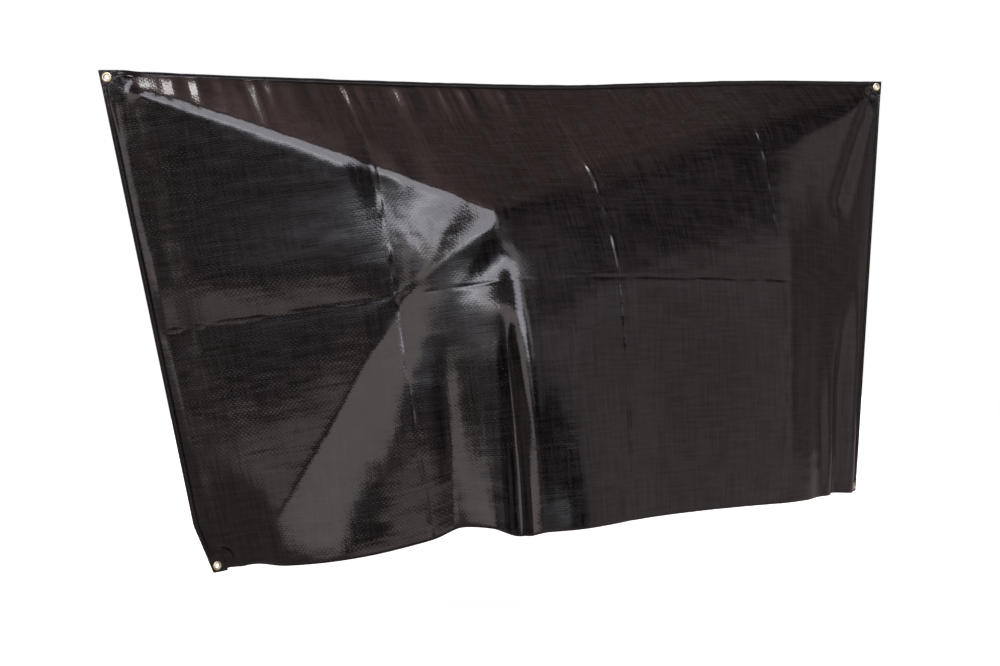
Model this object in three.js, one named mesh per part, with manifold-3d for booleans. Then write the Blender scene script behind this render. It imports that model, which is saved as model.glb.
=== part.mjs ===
// Bicycle cover: a flat bag of laminated tarpaulin, open below, as it hangs over two bicycles.
// Millimetres, +Z up. X runs along the top seam, -Y is the front, and the origin lies at the middle
// of the top, just under the seam where the front and the back panel meet.
// Cloth is measured in two directions: "along" from its left end, "down" from the top seam's stitching.

import * as THREE from 'three';
import Module from 'manifold-3d';

// ---- driving sizes --------------------------------------------------------------------------

const COVER_LENGTH = 2100;      // cut length of the bag, end to end
const TOP_SEAM_HEIGHT = 11;     // welded band that stands up along the top
const PANEL_DROP = 1102;        // from the seam's stitching down to the hem
const SIDE_SEAM_WIDTH = 10;     // welded band along each end
const CORNER_SIZE = 36;         // the seams are folded to a stiff square at each corner
const FOOT_HANG = 5;            // how far the lower corners hang below the hem

const PANEL_THICKNESS = 1.5;
const SEAM_THICKNESS = 3;       // two layers welded together
const GAP = 0.3;                // between neighbouring pieces
const ROOM = 1.8;               // from a seam's edge to the middle of a panel that leaves it at a slant
const TINY = 0.01;

const EYELET_EDGE = 15;         // eyelet centre from the two edges of its corner
const EYELET_BORE_RADIUS = 5.25;
const EYELET_BARREL_RADIUS = 6.2;
const EYELET_SEGMENTS = 18;

const HALF_LENGTH = COVER_LENGTH / 2;
const TOP_NOTCH = CORNER_SIZE - TOP_SEAM_HEIGHT;    // how far a top corner reaches below the stitching
const FOOT_NOTCH = CORNER_SIZE - FOOT_HANG;         // how far a lower corner reaches above the hem
const HALF_CREASE = PANEL_DROP / 2;                 // the cover was packed folded at half its height
const LOW_LINE = 850;                               // down at the wheels' hubs
const QUARTER = COVER_LENGTH / 4;                   // and in four along its length
const LAYER_OFFSET = 1.3;       // from the bag's middle layer to the middle of a panel, where both lie together

// The seam between its four tied corners: it sags a little, less so at the right.
const SEAM_LINE = [
  { along: 0, rise: 20 },
  { along: 330, rise: 11 },
  { along: 680, rise: 4 },
  { along: 1050, rise: 0 },
  { along: 1450, rise: 11 },
  { along: 1700, rise: 18 },
  { along: 2100, rise: 20 },
];

// The two end seams lean inwards as they go down, because the panels bulge below.
// lean: inwards at the hem, kick: more lean in the last stretch, forward: towards the front at the hem.
// top_turn, foot_turn: how the corners are turned, positive where the corner faces left.
const ENDS = {
  left: { lean: 185, kick: 22, forward: 15, top_turn: 26, foot_turn: -12 },
  right: { lean: 88, kick: 2, forward: 55, top_turn: 10, foot_turn: -24 },
};
const KICK_LENGTH = 110;        // length of that last stretch
const TURN_FADE = 130;          // a corner's turn has died out this far along the end seam
const FORWARD_FADE = 350;       // the end seam's way forwards has died out this far into a panel
const HOLD_FADE = 95;           // and the corner's hold on the panels this far from it

// How far the front panel stands out, section by section. The top slopes like a roof down to a
// break line, and a handlebar end lifts it highest at 765. roof: cloth from the seam to the break,
// edge: reach at the break, half, low, hem: reach further down, soft: how rounded the break is.
const FRONT_SECTIONS = [
  { along: 10, roof: 6, edge: 0, half: 0, low: 0, hem: 0, soft: 0 },
  { along: 80, roof: 50, edge: 37, half: 36, low: 40, hem: 50, soft: 4 },
  { along: 200, roof: 110, edge: 82, half: 90, low: 98, hem: 136, soft: 4 },
  { along: 350, roof: 186, edge: 140, half: 155, low: 172, hem: 213, soft: 4 },
  { along: 450, roof: 238, edge: 179, half: 198, low: 222, hem: 250, soft: 4 },
  { along: 525, roof: 274, edge: 206, half: 231, low: 264, hem: 288, soft: 4 },
  { along: 600, roof: 312, edge: 234, half: 266, low: 304, hem: 332, soft: 4 },
  { along: 680, roof: 354, edge: 266, half: 310, low: 352, hem: 386, soft: 4 },
  { along: 730, roof: 384, edge: 288, half: 335, low: 382, hem: 424, soft: 4 },
  { along: 765, roof: 402, edge: 302, half: 350, low: 405, hem: 456, soft: 4 },
  { along: 800, roof: 396, edge: 297, half: 358, low: 432, hem: 484, soft: 8 },
  { along: 880, roof: 368, edge: 275, half: 357, low: 450, hem: 514, soft: 22 },
  { along: 960, roof: 343, edge: 256, half: 355, low: 422, hem: 478, soft: 34 },
  { along: 1050, roof: 320, edge: 240, half: 343, low: 390, hem: 430, soft: 45 },
  { along: 1150, roof: 298, edge: 226, half: 327, low: 362, hem: 400, soft: 52 },
  { along: 1300, roof: 262, edge: 203, half: 302, low: 338, hem: 363, soft: 60 },
  { along: 1450, roof: 222, edge: 177, half: 276, low: 316, hem: 330, soft: 64 },
  { along: 1575, roof: 186, edge: 150, half: 254, low: 290, hem: 304, soft: 60 },
  { along: 1700, roof: 160, edge: 128, half: 206, low: 234, hem: 262, soft: 50 },
  { along: 1800, roof: 130, edge: 101, half: 160, low: 180, hem: 205, soft: 40 },
  { along: 1900, roof: 98, edge: 72, half: 110, low: 124, hem: 142, soft: 30 },
  { along: 2000, roof: 56, edge: 40, half: 54, low: 60, hem: 70, soft: 16 },
  { along: 2090, roof: 6, edge: 0, half: 0, low: 0, hem: 0, soft: 0 },
];

// The back hangs over the second bicycle, whose handlebar end stands a little further right.
const BACK_SECTIONS = [
  { along: 10, roof: 6, edge: 0, half: 0, low: 0, hem: 0, soft: 0 },
  { along: 80, roof: 40, edge: 28, half: 34, low: 40, hem: 48, soft: 6 },
  { along: 300, roof: 150, edge: 108, half: 128, low: 150, hem: 172, soft: 8 },
  { along: 600, roof: 300, edge: 215, half: 246, low: 278, hem: 306, soft: 10 },
  { along: 840, roof: 418, edge: 300, half: 338, low: 384, hem: 430, soft: 8 },
  { along: 920, roof: 392, edge: 283, half: 344, low: 402, hem: 446, soft: 20 },
  { along: 1100, roof: 332, edge: 241, half: 320, low: 360, hem: 394, soft: 40 },
  { along: 1400, roof: 236, edge: 173, half: 262, low: 298, hem: 320, soft: 50 },
  { along: 1700, roof: 150, edge: 112, half: 192, low: 216, hem: 238, soft: 40 },
  { along: 1950, roof: 62, edge: 45, half: 80, low: 94, hem: 108, soft: 20 },
  { along: 2090, roof: 6, edge: 0, half: 0, low: 0, hem: 0, soft: 0 },
];

// How much higher than a straight cut the hem hangs, where folds draw the cloth up.
const FRONT_HEM = [
  { along: 36, lift: 0 },
  { along: 250, lift: -8 },
  { along: 400, lift: -3 },
  { along: 520, lift: 10 },
  { along: 605, lift: 31 },
  { along: 665, lift: 24 },
  { along: 735, lift: -4 },
  { along: 800, lift: 5 },
  { along: 1050, lift: 5 },
  { along: 1700, lift: 0 },
  { along: 1900, lift: 3 },
  { along: 2064, lift: 0 },
];
const BACK_HEM = [
  { along: 36, lift: 0 },
  { along: 640, lift: 14 },
  { along: 780, lift: -4 },
  { along: 1100, lift: 6 },
  { along: 2064, lift: 0 },
];

// Folds that lie on top of the sections: a line across the cloth, how wide each flank is, and how
// far it stands out (or in, below zero). grow: the fold builds up over this length from its start.
const FRONT_FOLDS = [
  { name: 'handlebar ridge', from: [768, 440], to: [791, PANEL_DROP], flank: 24, out: 10, grow: 60 },
  { name: 'valley beside the ridge', from: [746, 590], to: [722, PANEL_DROP], flank: 27, out: -22, grow: 150 },
  { name: 'trough right of the first crease', from: [580, 640], to: [556, PANEL_DROP], flank: 36, out: -8, grow: 140 },
  { name: 'end fold, outer', from: [2000, 420], to: [1990, PANEL_DROP], flank: 40, out: 10, grow: 300 },
  { name: 'end fold, trough', from: [1915, 520], to: [1902, PANEL_DROP], flank: 36, out: -10, grow: 300 },
  { name: 'end fold, inner', from: [1835, 640], to: [1832, PANEL_DROP], flank: 36, out: 7, grow: 300 },
  { name: 'pull from the right corner', from: [2050, 30], to: [1890, 330], flank: 34, out: -9, grow: 60 },
];
const BACK_FOLDS = [
  { name: 'handlebar ridge', from: [845, 440], to: [880, PANEL_DROP], flank: 30, out: 10, grow: 60 },
  { name: 'valley beside the ridge', from: [800, 620], to: [780, PANEL_DROP], flank: 34, out: -16, grow: 160 },
  { name: 'soft trough', from: [1480, 560], to: [1500, PANEL_DROP], flank: 60, out: -9, grow: 200 },
];

// Where the cloth is divided into faces: from each stop to the next in even steps.
const FRONT_COLUMNS = [
  { stop: SIDE_SEAM_WIDTH, step: 26 }, { stop: CORNER_SIZE, step: 47 }, { stop: 130, step: 56 },
  { stop: QUARTER, step: 45 }, { stop: 700, step: 18 }, { stop: 810, step: 50 },
  { stop: 2 * QUARTER, step: 70 }, { stop: 3 * QUARTER, step: 66 }, { stop: 1775, step: 42 },
  { stop: COVER_LENGTH - CORNER_SIZE, step: 26 }, { stop: COVER_LENGTH - SIDE_SEAM_WIDTH },
];
const BACK_COLUMNS = [
  { stop: SIDE_SEAM_WIDTH, step: 26 }, { stop: CORNER_SIZE, step: 47 }, { stop: 130, step: 90 },
  { stop: 760, step: 42 }, { stop: 920, step: 90 }, { stop: 1970, step: 47 },
  { stop: COVER_LENGTH - CORNER_SIZE, step: 26 }, { stop: COVER_LENGTH - SIDE_SEAM_WIDTH },
];
const ROWS = [
  { stop: 0, step: TOP_NOTCH }, { stop: TOP_NOTCH, step: 45 }, { stop: 422, step: 45 },
  { stop: HALF_CREASE, step: 78 }, { stop: PANEL_DROP - FOOT_NOTCH, step: FOOT_NOTCH },
  { stop: PANEL_DROP },
];

const SETTLE_ROUNDS = 1500;     // rounds in which the cloth pulls back to its own lengths

// ---- small helpers --------------------------------------------------------------------------

const clamp = THREE.MathUtils.clamp;
const ease = (t) => THREE.MathUtils.smoothstep(t, 0, 1);
const sideSign = (side) => (side === 'left' ? 1 : -1);

// The stops of a division table with even steps between them.
function divide(stops) {
  const places = [stops[0].stop];
  for (let k = 0; k + 1 < stops.length; k += 1) {
    const span = stops[k + 1].stop - stops[k].stop;
    const count = Math.max(1, Math.round(span / stops[k].step));
    for (let n = 1; n <= count; n += 1) places.push(stops[k].stop + (span * n) / count);
  }
  return places;
}

// Slope of a smooth curve at point k of a list of [x, y] points. It never swings past the points.
function slopeAt(points, k) {
  const slope = (a, b) => (points[b][1] - points[a][1]) / (points[b][0] - points[a][0]);
  if (k === 0) return slope(0, 1);
  if (k === points.length - 1) return slope(k - 1, k);
  const before = slope(k - 1, k);
  const after = slope(k, k + 1);
  if (before * after <= 0) return 0;
  return (2 * before * after) / (before + after);
}

function curveThrough(points, x) {
  const last = points.length - 1;
  if (x <= points[0][0]) return points[0][1];
  if (x >= points[last][0]) return points[last][1];
  let k = 0;
  while (points[k + 1][0] < x) k += 1;
  const width = points[k + 1][0] - points[k][0];
  const t = (x - points[k][0]) / width;
  const t2 = t * t;
  const t3 = t2 * t;
  return points[k][1] * (2 * t3 - 3 * t2 + 1) + points[k + 1][1] * (3 * t2 - 2 * t3)
    + width * (slopeAt(points, k) * (t3 - 2 * t2 + t) + slopeAt(points, k + 1) * (t3 - t2));
}

const readTable = (table, column, along) => curveThrough(table.map((row) => [row.along, row[column]]), along);

// ---- where the seams run --------------------------------------------------------------------

const seamRise = (along) => readTable(SEAM_LINE, 'rise', along);

// A point of an end seam: inset from the outer edge, and down from the top seam's stitching.
function endSeamPoint(side, inset, down) {
  const end = ENDS[side];
  const inwards = sideSign(side);
  const slide = down / PANEL_DROP;
  const kick = end.kick * Math.max(0, (down - PANEL_DROP + KICK_LENGTH) / KICK_LENGTH);
  const fall = slide * Math.sqrt(PANEL_DROP ** 2 - end.lean ** 2 - end.forward ** 2);
  const fromTop = 1 - ease((down - TOP_NOTCH) / TURN_FADE);
  const fromFoot = 1 - ease((PANEL_DROP - FOOT_NOTCH - down) / TURN_FADE);
  const turn = THREE.MathUtils.degToRad(end.top_turn * fromTop + end.foot_turn * fromFoot);
  const across = new THREE.Vector3(inwards * Math.cos(turn), -inwards * Math.sin(turn), 0);
  const x = -inwards * (HALF_LENGTH - end.lean * slide - kick);
  const z = seamRise(side === 'left' ? 0 : COVER_LENGTH) - fall;
  return new THREE.Vector3(x, -end.forward * slide, z).addScaledVector(across, inset);
}

// ---- how far a panel stands out --------------------------------------------------------------

function sectionReach(sections, along, down) {
  const at = (column) => readTable(sections, column, along);
  const roof = at('roof');
  const below = [[roof, at('edge')], [HALF_CREASE, at('half')], [LOW_LINE, at('low')], [PANEL_DROP, at('hem')]];
  const reach = (d) => (d < roof ? (below[0][1] * d) / roof : curveThrough(below, d));
  const soft = Math.min(at('soft'), down);
  const samples = [-1, -0.5, 0, 0.5, 1];
  return samples.reduce((sum, s) => sum + reach(down + s * soft), 0) / samples.length;
}

function foldReach(fold, along, down) {
  const [a0, d0] = fold.from;
  const [a1, d1] = fold.to;
  const length = Math.hypot(a1 - a0, d1 - d0);
  const run = ((along - a0) * (a1 - a0) + (down - d0) * (d1 - d0)) / length;
  const across = ((along - a0) * (d1 - d0) - (down - d0) * (a1 - a0)) / length;
  const grown = ease(run / fold.grow) * ease((length + fold.grow - run) / fold.grow);
  return fold.out * grown * Math.exp(-((across / fold.flank) ** 2));
}

function panelReach(sections, folds, along, down) {
  const raised = folds.reduce((sum, fold) => sum + foldReach(fold, along, down), 0);
  const fromEnd = Math.min(along, COVER_LENGTH - along) - SIDE_SEAM_WIDTH;
  const settled = ease(fromEnd / 60) * ease(down / 30);
  return sectionReach(sections, along, down) + raised * settled;
}

// 1 on the stiff corner squares, fading to 0 over a hand's breadth: there both panels lie together.
function cornerHold(along, down) {
  const beside = Math.max(0, Math.min(along, COVER_LENGTH - along) - CORNER_SIZE);
  const under = Math.max(0, Math.min(down - TOP_NOTCH, PANEL_DROP - FOOT_NOTCH - down));
  return 1 - ease(Math.hypot(beside, under) / HOLD_FADE);
}

// Where the middle layer of the bag lies: the end seams pull it forwards, and so do turned corners.
function middleDepth(along, down) {
  const side = along < HALF_LENGTH ? 'left' : 'right';
  const fromEnd = Math.min(along, COVER_LENGTH - along);
  const onSeam = endSeamPoint(side, 0, down).y * (1 - ease((fromEnd - SIDE_SEAM_WIDTH) / FORWARD_FADE));
  const turn = down < HALF_CREASE ? ENDS[side].top_turn : ENDS[side].foot_turn;
  const slant = -sideSign(side) * Math.sin(THREE.MathUtils.degToRad(turn)) * Math.min(fromEnd, CORNER_SIZE);
  return onSeam + slant * cornerHold(along, down);
}

// ---- a panel: its sections, pulled back to the cloth's own lengths ----------------------------

// facing is -1 for the front panel and 1 for the back one.
function settlePanel(sections, hem, folds, columns, rows, facing) {
  const grid = columns.map((along) => {
    const side = along < HALF_LENGTH ? 'left' : 'right';
    const fromEnd = Math.min(along, COVER_LENGTH - along);
    let fall = 0;
    let above = null;
    const lift = readTable(hem, 'lift', along);
    return rows.map((down) => {
      const cut = down - lift * ease((down - LOW_LINE) / (PANEL_DROP - LOW_LINE));
      const inTopCorner = fromEnd <= CORNER_SIZE + TINY && down <= TOP_NOTCH + TINY;
      const inFootCorner = fromEnd <= CORNER_SIZE + TINY && down >= PANEL_DROP - FOOT_NOTCH - TINY;
      const onEnd = fromEnd <= SIDE_SEAM_WIDTH + TINY;
      const middle = middleDepth(along, down);
      const loose = 1 - cornerHold(along, down);
      const reach = LAYER_OFFSET + panelReach(sections, folds, along, down) * loose;
      const place = new THREE.Vector3(0, middle + facing * reach, 0);
      if (onEnd || inTopCorner || inFootCorner) {
        const atBottom = inTopCorner ? ROOM : 0;
        const atTop = inFootCorner && Math.abs(down - PANEL_DROP + FOOT_NOTCH) < TINY ? ROOM : 0;
        place.copy(endSeamPoint(side, fromEnd + ROOM, down + atBottom - atTop));
        place.y += facing * LAYER_OFFSET;
      } else if (down === 0) {
        place.set(along - HALF_LENGTH, middle + facing * LAYER_OFFSET, seamRise(along) - ROOM);
      } else {
        const step = cut - above.down;
        fall += Math.sqrt(Math.max(0.09 * step ** 2, step ** 2 - (place.y - above.place.y) ** 2));
        const share = (along - SIDE_SEAM_WIDTH) / (COVER_LENGTH - 2 * SIDE_SEAM_WIDTH);
        const leftX = endSeamPoint('left', SIDE_SEAM_WIDTH, down).x;
        const rightX = endSeamPoint('right', SIDE_SEAM_WIDTH, down).x;
        place.setX(leftX + (rightX - leftX) * share).setZ(seamRise(along) - fall);
      }
      above = { along, down: cut, place, held: onEnd || inTopCorner || inFootCorner || down === 0 };
      return above;
    });
  });
  settle(grid);
  return grid;
}

// Each thread of the grid, and each diagonal, is brought back to its cut length. How far a point
// stands out is kept, so it slides only along and down.
function settle(grid) {
  const threads = [];
  const tie = (a, b, stiffness) => {
    const cut = Math.hypot(a.along - b.along, a.down - b.down);
    threads.push({ a, b, cut, stiffness });
  };
  for (let i = 0; i < grid.length; i += 1) {
    for (let j = 0; j < grid[i].length; j += 1) {
      if (i + 1 < grid.length) tie(grid[i][j], grid[i + 1][j], 1);
      if (j + 1 < grid[i].length) tie(grid[i][j], grid[i][j + 1], 1);
      if (i + 1 < grid.length && j + 1 < grid[i].length) {
        tie(grid[i][j], grid[i + 1][j + 1], 0.4);
        tie(grid[i + 1][j], grid[i][j + 1], 0.4);
      }
    }
  }
  for (let round = 0; round < SETTLE_ROUNDS; round += 1) {
    for (const { a, b, cut, stiffness } of threads) {
      if (a.held && b.held) continue;
      const dx = b.place.x - a.place.x;
      const dy = b.place.y - a.place.y;
      const dz = b.place.z - a.place.z;
      const wanted = Math.sqrt(Math.max(0.04 * cut * cut, cut * cut - dy * dy));
      const now = Math.hypot(dx, dz) || 1;
      const pull = (stiffness * (now - wanted)) / now / (a.held || b.held ? 1 : 2);
      if (!a.held) {
        a.place.x += dx * pull;
        a.place.z += dz * pull;
      }
      if (!b.held) {
        b.place.x -= dx * pull;
        b.place.z -= dz * pull;
      }
    }
  }
}

// ---- a grid of points becomes a sheet with a thickness ---------------------------------------

// points[i][j] is the middle of the sheet, and isCloth(i, j) says which cells it covers.
function sheetGeometry(points, isCloth, thickness) {
  const across = points.length;
  const down = points[0].length;
  const has = (i, j) => i >= 0 && j >= 0 && i < across - 1 && j < down - 1 && isCloth(i, j);
  const normals = points.map((column) => column.map(() => new THREE.Vector3()));
  const cellNormal = new THREE.Vector3();
  for (let i = 0; i + 1 < across; i += 1) {
    for (let j = 0; j + 1 < down; j += 1) {
      if (!has(i, j)) continue;
      const one = points[i + 1][j + 1].clone().sub(points[i][j]);
      const other = points[i + 1][j].clone().sub(points[i][j + 1]);
      cellNormal.crossVectors(one, other).normalize();
      for (const [a, b] of [[i, j], [i + 1, j], [i, j + 1], [i + 1, j + 1]]) normals[a][b].add(cellNormal);
    }
  }
  const position = [];
  const number = new Map();
  const vertex = (i, j, sideOfSheet) => {
    const key = `${i},${j},${sideOfSheet}`;
    if (!number.has(key)) {
      const offset = normals[i][j].clone().normalize().multiplyScalar((sideOfSheet * thickness) / 2);
      const place = points[i][j].clone().add(offset);
      number.set(key, position.length / 3);
      position.push(place.x, place.y, place.z);
    }
    return number.get(key);
  };
  const index = [];
  const quad = (a, b, c, d) => index.push(a, b, c, a, c, d);
  for (let i = 0; i + 1 < across; i += 1) {
    for (let j = 0; j + 1 < down; j += 1) {
      if (!has(i, j)) continue;
      const corners = [[i, j], [i, j + 1], [i + 1, j + 1], [i + 1, j]];
      const falling = points[i][j].distanceTo(points[i + 1][j + 1]);
      const rising = points[i + 1][j].distanceTo(points[i][j + 1]);
      const turned = falling <= rising ? corners : [...corners.slice(1), corners[0]];
      const outer = turned.map(([a, b]) => vertex(a, b, 1));
      const inner = turned.map(([a, b]) => vertex(a, b, -1));
      quad(...outer);
      quad(inner[0], inner[3], inner[2], inner[1]);
      const wall = (one, two) => quad(vertex(...two, 1), vertex(...one, 1), vertex(...one, -1), vertex(...two, -1));
      if (!has(i - 1, j)) wall([i, j], [i, j + 1]);
      if (!has(i, j + 1)) wall([i, j + 1], [i + 1, j + 1]);
      if (!has(i + 1, j)) wall([i + 1, j + 1], [i + 1, j]);
      if (!has(i, j - 1)) wall([i + 1, j], [i, j]);
    }
  }
  const geometry = new THREE.BufferGeometry();
  geometry.setAttribute('position', new THREE.Float32BufferAttribute(position, 3));
  geometry.setIndex(index);
  return signedVolume(geometry) < 0 ? insideOut(geometry) : geometry;
}

function signedVolume(geometry) {
  const place = geometry.getAttribute('position');
  const index = geometry.getIndex();
  const [a, b, c] = [new THREE.Vector3(), new THREE.Vector3(), new THREE.Vector3()];
  let volume = 0;
  for (let k = 0; k < index.count; k += 3) {
    a.fromBufferAttribute(place, index.getX(k));
    b.fromBufferAttribute(place, index.getX(k + 1));
    c.fromBufferAttribute(place, index.getX(k + 2));
    volume += a.dot(b.cross(c)) / 6;
  }
  return volume;
}

function insideOut(geometry) {
  const index = Array.from(geometry.getIndex().array);
  for (let k = 0; k < index.length; k += 3) [index[k], index[k + 1]] = [index[k + 1], index[k]];
  geometry.setIndex(index);
  return geometry;
}

// ---- booleans ---------------------------------------------------------------------------------

const wasm = await Module();
wasm.setup();

function toManifold(geometry) {
  const vertProperties = new Float32Array(geometry.getAttribute('position').array);
  const triVerts = new Uint32Array(geometry.getIndex().array);
  return new wasm.Manifold(new wasm.Mesh({ numProp: 3, vertProperties, triVerts }));
}

function fromManifold(solid) {
  const mesh = solid.getMesh();
  const geometry = new THREE.BufferGeometry();
  geometry.setAttribute('position', new THREE.Float32BufferAttribute(mesh.vertProperties, 3));
  geometry.setIndex(Array.from(mesh.triVerts));
  return geometry;
}

// ---- materials --------------------------------------------------------------------------------

const tarpaulin = new THREE.MeshStandardMaterial({ color: 0x1c1819, roughness: 0.32, metalness: 0 });
const seamBand = new THREE.MeshStandardMaterial({ color: 0x171415, roughness: 0.4, metalness: 0 });
const brass = new THREE.MeshStandardMaterial({ color: 0xb99a5b, roughness: 0.3, metalness: 1 });

// ---- the pieces -------------------------------------------------------------------------------

const cover = new THREE.Group();

function addPiece(name, geometry, material) {
  geometry.computeVertexNormals();
  const mesh = new THREE.Mesh(geometry, material);
  mesh.name = name;
  cover.add(mesh);
  return mesh;
}

function addPanel(name, sections, hem, folds, columnStops, facing) {
  const columns = divide(columnStops);
  const rows = divide(ROWS);
  const grid = settlePanel(sections, hem, folds, columns, rows, facing);
  const points = grid.map((column) => column.map((node) => node.place));
  const lastColumn = columns.length - 2;
  const lastRow = rows.length - 2;
  const isCloth = (i, j) => !((i === 0 || i === lastColumn) && (j === 0 || j === lastRow));
  addPiece(name, sheetGeometry(points, isCloth, PANEL_THICKNESS), tarpaulin);
}

// The top seam's two welded layers, standing up between the two top corners.
function addTopSeam() {
  const line = divide(FRONT_COLUMNS).slice(2, -2)
    .map((along) => new THREE.Vector3(along - HALF_LENGTH, middleDepth(along, 0), seamRise(along)));
  line.unshift(endSeamPoint('left', CORNER_SIZE + ROOM, 0));
  line.push(endSeamPoint('right', CORNER_SIZE + ROOM, 0));
  const points = line.map((foot) => [foot.clone().setZ(foot.z + TOP_SEAM_HEIGHT), foot]);
  addPiece('top_seam', sheetGeometry(points, () => true, SEAM_THICKNESS), seamBand);
}

// The eyelet's middle and the way it faces, on a corner square.
function eyeletSeat(side, down) {
  const middle = endSeamPoint(side, EYELET_EDGE, down);
  const inwards = endSeamPoint(side, EYELET_EDGE + 1, down).sub(middle);
  const downwards = endSeamPoint(side, EYELET_EDGE, down + 1).sub(middle);
  const facing = inwards.cross(downwards).normalize();
  if (facing.y > 0) facing.negate();
  return { middle, facing };
}

function placeOnSeat(geometry, seat) {
  const turn = new THREE.Quaternion().setFromUnitVectors(new THREE.Vector3(0, 1, 0), seat.facing);
  geometry.applyQuaternion(turn);
  geometry.translate(seat.middle.x, seat.middle.y, seat.middle.z);
  return geometry;
}

const EYELET_DOWN = { top: EYELET_EDGE - TOP_SEAM_HEIGHT, bottom: PANEL_DROP + FOOT_HANG - EYELET_EDGE };

// The hole for an eyelet's barrel, as a closed drum with shared corner points.
function holeDrum(seat) {
  const radius = EYELET_BARREL_RADIUS + GAP;
  const length = 4 * SEAM_THICKNESS;
  const position = [0, -length / 2, 0, 0, length / 2, 0];
  const index = [];
  for (let k = 0; k < EYELET_SEGMENTS; k += 1) {
    const angle = (k / EYELET_SEGMENTS) * Math.PI * 2;
    const next = (k + 1) % EYELET_SEGMENTS;
    const [low, high, nextLow, nextHigh] = [2 + 2 * k, 3 + 2 * k, 2 + 2 * next, 3 + 2 * next];
    position.push(radius * Math.sin(angle), -length / 2, radius * Math.cos(angle));
    position.push(radius * Math.sin(angle), length / 2, radius * Math.cos(angle));
    index.push(0, nextLow, low, 1, high, nextHigh, low, nextLow, nextHigh, low, nextHigh, high);
  }
  const geometry = new THREE.BufferGeometry();
  geometry.setAttribute('position', new THREE.Float32BufferAttribute(position, 3));
  geometry.setIndex(index);
  return placeOnSeat(geometry, seat);
}

// An end seam: a narrow welded band that widens to a stiff square at both of its corners.
function addEndSeam(side) {
  const insets = [0, SIDE_SEAM_WIDTH, CORNER_SIZE];
  const downs = [-TOP_SEAM_HEIGHT, ...divide(ROWS).slice(1)];
  downs[downs.length - 1] += FOOT_HANG;
  const points = insets.map((inset) => downs.map((down) => endSeamPoint(side, inset, down)));
  const lastRow = downs.length - 2;
  const isCloth = (i, j) => i === 0 || j === 0 || j === lastRow;
  const band = toManifold(sheetGeometry(points, isCloth, SEAM_THICKNESS));
  const topHole = toManifold(holeDrum(eyeletSeat(side, EYELET_DOWN.top)));
  const footHole = toManifold(holeDrum(eyeletSeat(side, EYELET_DOWN.bottom)));
  addPiece(`side_seam_${side}`, fromManifold(band.subtract(topHole).subtract(footHole)), seamBand);
}

// A brass eyelet: a barrel through the corner with a rolled flange on each face.
function addEyelet(end, side) {
  const face = SEAM_THICKNESS / 2 + GAP;
  const profile = [
    [EYELET_BORE_RADIUS, face + 0.5],
    [5.8, face + 1.1],
    [6.8, face + 1.4],
    [9.2, face + 1.4],
    [10.1, face + 0.9],
    [10.5, face],
    [EYELET_BARREL_RADIUS, face],
    [EYELET_BARREL_RADIUS, -face],
    [10, -face],
    [9.4, -face - 0.8],
    [6.6, -face - 0.9],
    [EYELET_BORE_RADIUS, -face - 0.3],
    [EYELET_BORE_RADIUS, face + 0.5],
  ].reverse().map(([radius, height]) => new THREE.Vector2(radius, height));
  const ring = new THREE.LatheGeometry(profile, EYELET_SEGMENTS);
  addPiece(`eyelet_${end}_${side}`, placeOnSeat(ring, eyeletSeat(side, EYELET_DOWN[end])), brass);
}

addPanel('front_panel', FRONT_SECTIONS, FRONT_HEM, FRONT_FOLDS, FRONT_COLUMNS, -1);
addPanel('back_panel', BACK_SECTIONS, BACK_HEM, BACK_FOLDS, BACK_COLUMNS, 1);
addTopSeam();
for (const side of ['left', 'right']) {
  addEndSeam(side);
  addEyelet('top', side);
  addEyelet('bottom', side);
}

export default cover;
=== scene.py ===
# %% [markdown]
# # Bicycle cover
#
# The cover is a flat bag of laminated woven polyethylene, welded along the top and both ends and
# open below. It hangs over two bicycles that stand side by side. A handlebar end pushes the front
# panel out to a point, and folds run down from there.
#
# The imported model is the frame: real size, in metres, with the origin under the middle of the top
# seam. The sheets repeat the solids' tables and functions, a little smoothed and on a finer grid,
# and then get the creases and dents that a solid leaves out.

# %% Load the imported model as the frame
import math

import bmesh
import bpy
import numpy as np
from mathutils import Matrix, Vector


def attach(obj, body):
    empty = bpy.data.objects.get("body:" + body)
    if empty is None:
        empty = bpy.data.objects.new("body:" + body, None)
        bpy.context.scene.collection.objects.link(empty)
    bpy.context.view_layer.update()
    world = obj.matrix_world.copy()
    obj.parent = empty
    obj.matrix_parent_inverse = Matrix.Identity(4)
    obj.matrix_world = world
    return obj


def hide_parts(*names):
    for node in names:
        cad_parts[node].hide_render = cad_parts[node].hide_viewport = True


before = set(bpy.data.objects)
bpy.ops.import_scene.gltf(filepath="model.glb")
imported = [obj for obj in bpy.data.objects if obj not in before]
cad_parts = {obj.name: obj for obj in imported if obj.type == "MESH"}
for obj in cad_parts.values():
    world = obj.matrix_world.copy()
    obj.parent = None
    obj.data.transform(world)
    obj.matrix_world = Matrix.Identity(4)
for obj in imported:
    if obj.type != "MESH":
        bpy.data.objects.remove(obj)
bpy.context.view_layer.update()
print("solids:", ", ".join(sorted(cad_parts)))

# %% [markdown]
# ## Sizes
#
# All lengths below are in millimetres until the very end, when a point goes into a mesh. Cloth is
# measured in two directions: "along" from its left end, and "down" from the top seam's stitching.
# A table is its columns' names and its rows.

# %% Sizes and a reader for tables
MM = 0.001

COVER_LENGTH = 2100.0
TOP_SEAM_HEIGHT = 11.0
PANEL_DROP = 1102.0
SIDE_SEAM_WIDTH = 10.0
CORNER_SIZE = 36.0
FOOT_HANG = 5.0         # how far a corner square hangs below the hem
LAYER_OFFSET = 1.1      # from the middle of the bag to either panel
TUCK = 1.0              # how far a panel runs in under a weld
TOUCH = 0.01            # places closer than this are the same

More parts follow.
